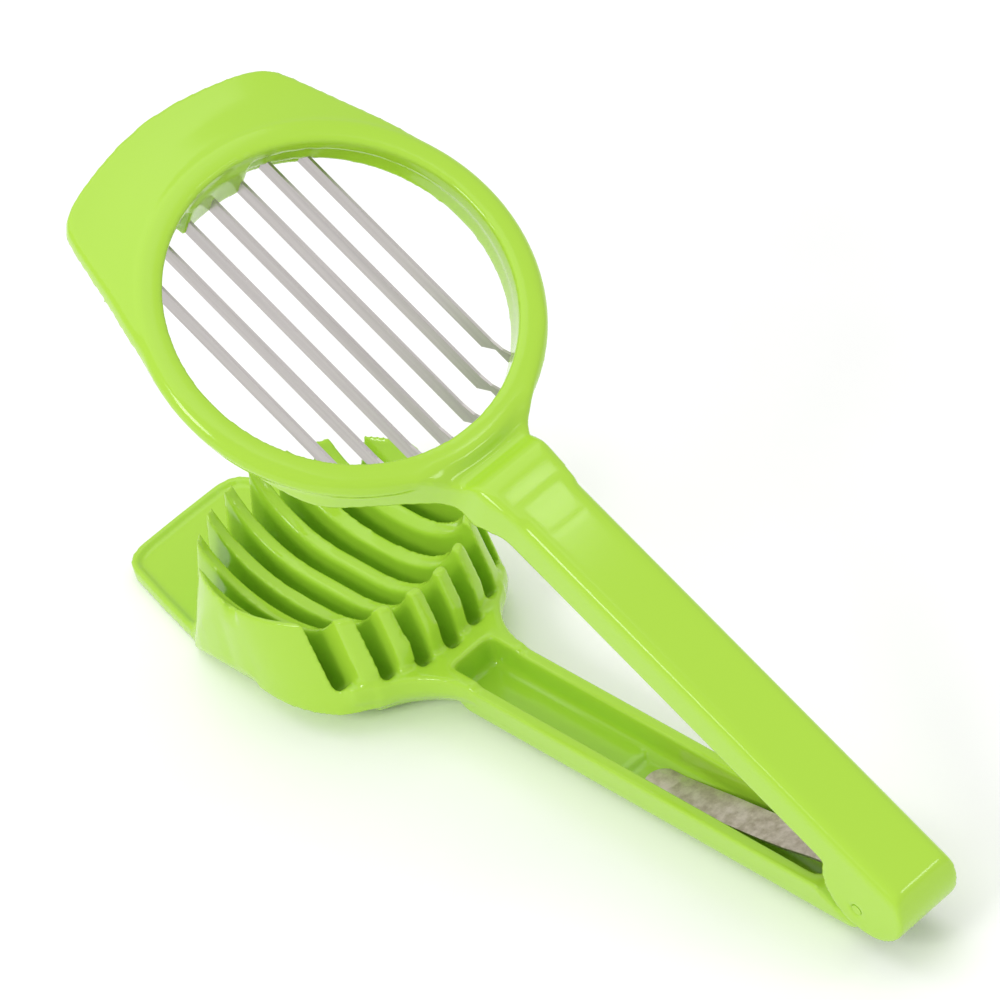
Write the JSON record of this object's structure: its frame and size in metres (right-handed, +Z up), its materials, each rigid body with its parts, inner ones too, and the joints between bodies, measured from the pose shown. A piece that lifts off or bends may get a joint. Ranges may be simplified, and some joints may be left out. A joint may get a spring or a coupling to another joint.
{
  "type": "egg slicer",
  "caption": "Tong-style hand egg slicer: a slotted cradle on the lower arm, a frame of steel blade strips on the upper arm, hinged at the back and opened by a leaf spring.",
  "frame": {"origin": "centre of the egg cradle, on the surface the lower arm lies on", "axes": "+X along the arms from the cradle towards the hinge, +Y across the blades, +Z up from the resting surface"},
  "size_m": [0.1876, 0.0706, 0.1066],
  "materials": {
    "green_plastic": "gloss",
    "blade_steel": "fine brushed stainless",
    "spring_steel": "rolled, slightly mottled",
    "pin_plastic": "gloss"
  },
  "bodies": {
    "lower": {"lower_arm": "green_plastic", "leaf_spring": "spring_steel"},
    "upper": {"upper_arm": "green_plastic", "hinge_pin": "pin_plastic", "blade_1": "blade_steel", "blade_2": "blade_steel", "blade_3": "blade_steel", "blade_4": "blade_steel", "blade_5": "blade_steel", "blade_6": "blade_steel", "blade_7": "blade_steel"}
  },
  "joints": [
    {"name": "arm_hinge", "type": "hinge", "parent": "lower", "child": "upper", "pos_m": [0.132, 0, 0.0101], "axis": [0, 1, 0], "range_deg": [-31.2, 6], "stiffness_Nm_per_rad": 0.9, "deforming": ["leaf_spring"]}
  ]
}
